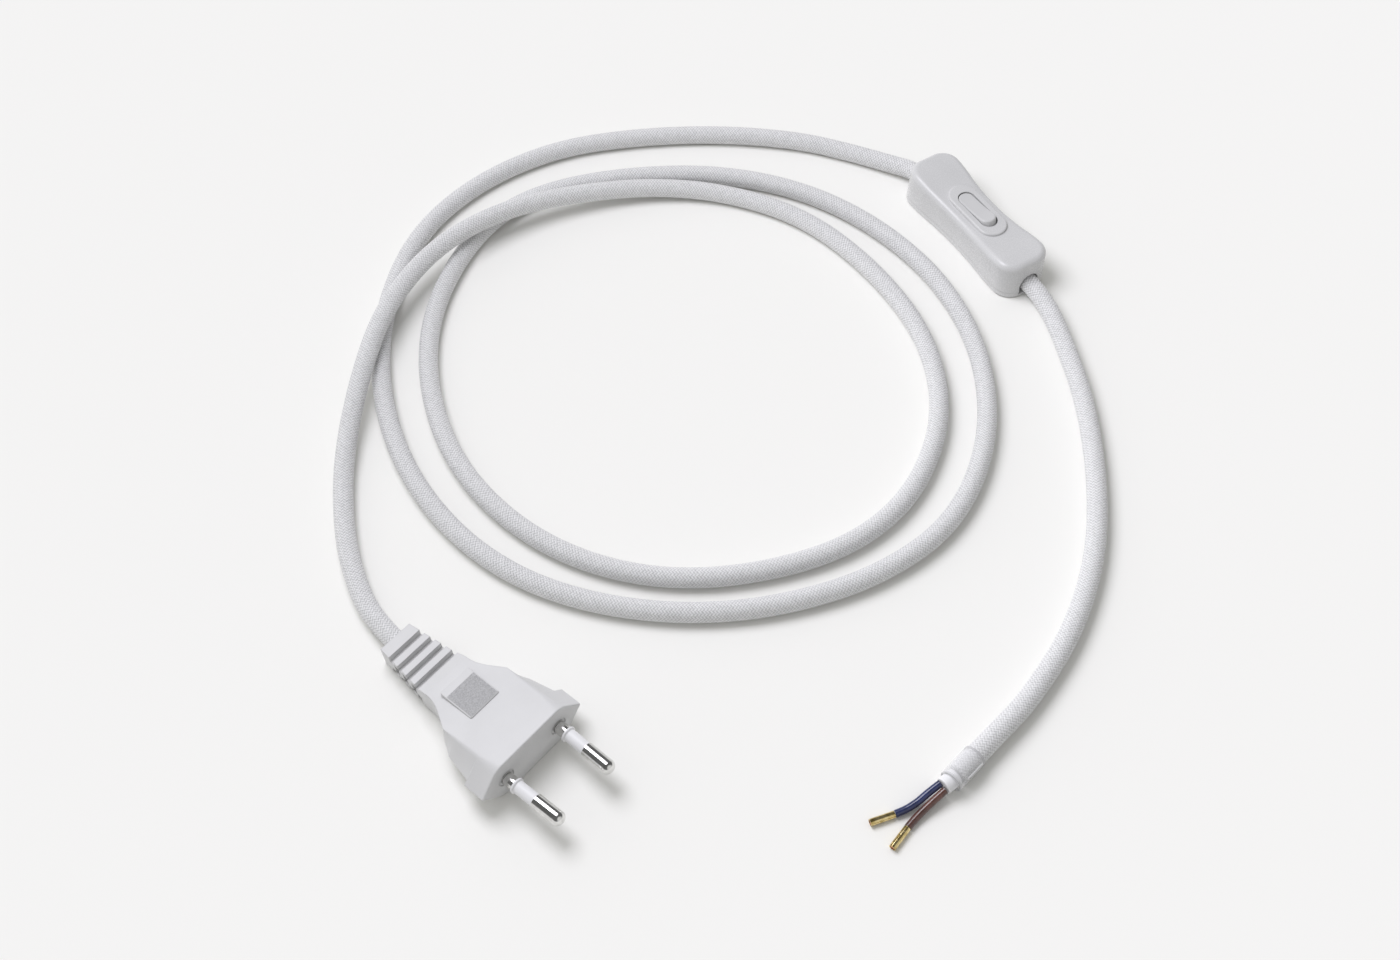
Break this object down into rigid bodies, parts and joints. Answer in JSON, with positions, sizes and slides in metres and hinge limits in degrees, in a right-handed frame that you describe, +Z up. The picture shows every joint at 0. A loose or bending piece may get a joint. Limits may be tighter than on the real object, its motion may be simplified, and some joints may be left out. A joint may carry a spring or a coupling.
{
  "type": "lamp cord with inline switch",
  "caption": "White braided lamp lead laid in loose turns, with a flat moulded mains plug, an inline rocker switch and a bare end of blue and brown cores with brass ferrules.",
  "frame": {"origin": "middle of the underside of the inline switch", "axes": "+X along the switch from the plug side to the bare end, +Z up from the floor"},
  "size_m": [0.2576, 0.2331, 0.0138],
  "materials": {
    "switch_plastic": "satin moulded",
    "rocker_plastic": "satin moulded",
    "plug_plastic": "soft moulded",
    "sleeve_plastic": "satin",
    "braid": "fine woven braid",
    "clear_band": "clear shrink sleeve",
    "inner_sheath": "extruded",
    "blue_insulation": "glossy extruded",
    "brown_insulation": "glossy extruded",
    "brass": "bright",
    "nickel": "bright nickel plate",
    "steel": "zinc plated"
  },
  "bodies": {
    "lead": {"switch_cover": "switch_plastic", "switch_base": "switch_plastic", "live_terminal_in": "brass", "live_terminal_out": "brass", "neutral_connector": "brass", "terminal_screws": "steel", "cord_clamp_in": "switch_plastic", "cord_clamp_out": "switch_plastic", "clamp_screws": "steel", "housing_screws": "steel", "live_tail_in": "brown_insulation", "live_tail_out": "brown_insulation", "neutral_tail_in": "blue_insulation", "neutral_tail_out": "blue_insulation", "plug_body": "plug_plastic", "pin_near": "nickel", "pin_far": "nickel", "sleeve_near": "sleeve_plastic", "sleeve_far": "sleeve_plastic", "cord_plug_to_switch": "braid", "cord_switch_to_end": "braid", "end_band": "clear_band", "end_sheath": "inner_sheath", "blue_core": "blue_insulation", "brown_core": "brown_insulation", "blue_ferrule": "brass", "brown_ferrule": "brass"},
    "rocker_body": {"rocker": "rocker_plastic", "rocker_spring": "steel", "rocker_plunger": "rocker_plastic"},
    "contact_body": {"see_saw_contact": "brass"}
  },
  "joints": [
    {"name": "rocker_hinge", "type": "hinge", "parent": "lead", "child": "rocker_body", "pos_m": [0, 0, 0.0086], "axis": [0, 1, 0], "range_deg": [0, 12]},
    {"name": "contact_hinge", "type": "hinge", "parent": "lead", "child": "contact_body", "pos_m": [0, 0, 0.0031], "axis": [0, 1, 0], "range_deg": [-12, 0]}
  ],
  "couplings": [
    {"joint": "contact_hinge", "follows": "rocker_hinge", "ratio": -1}
  ]
}
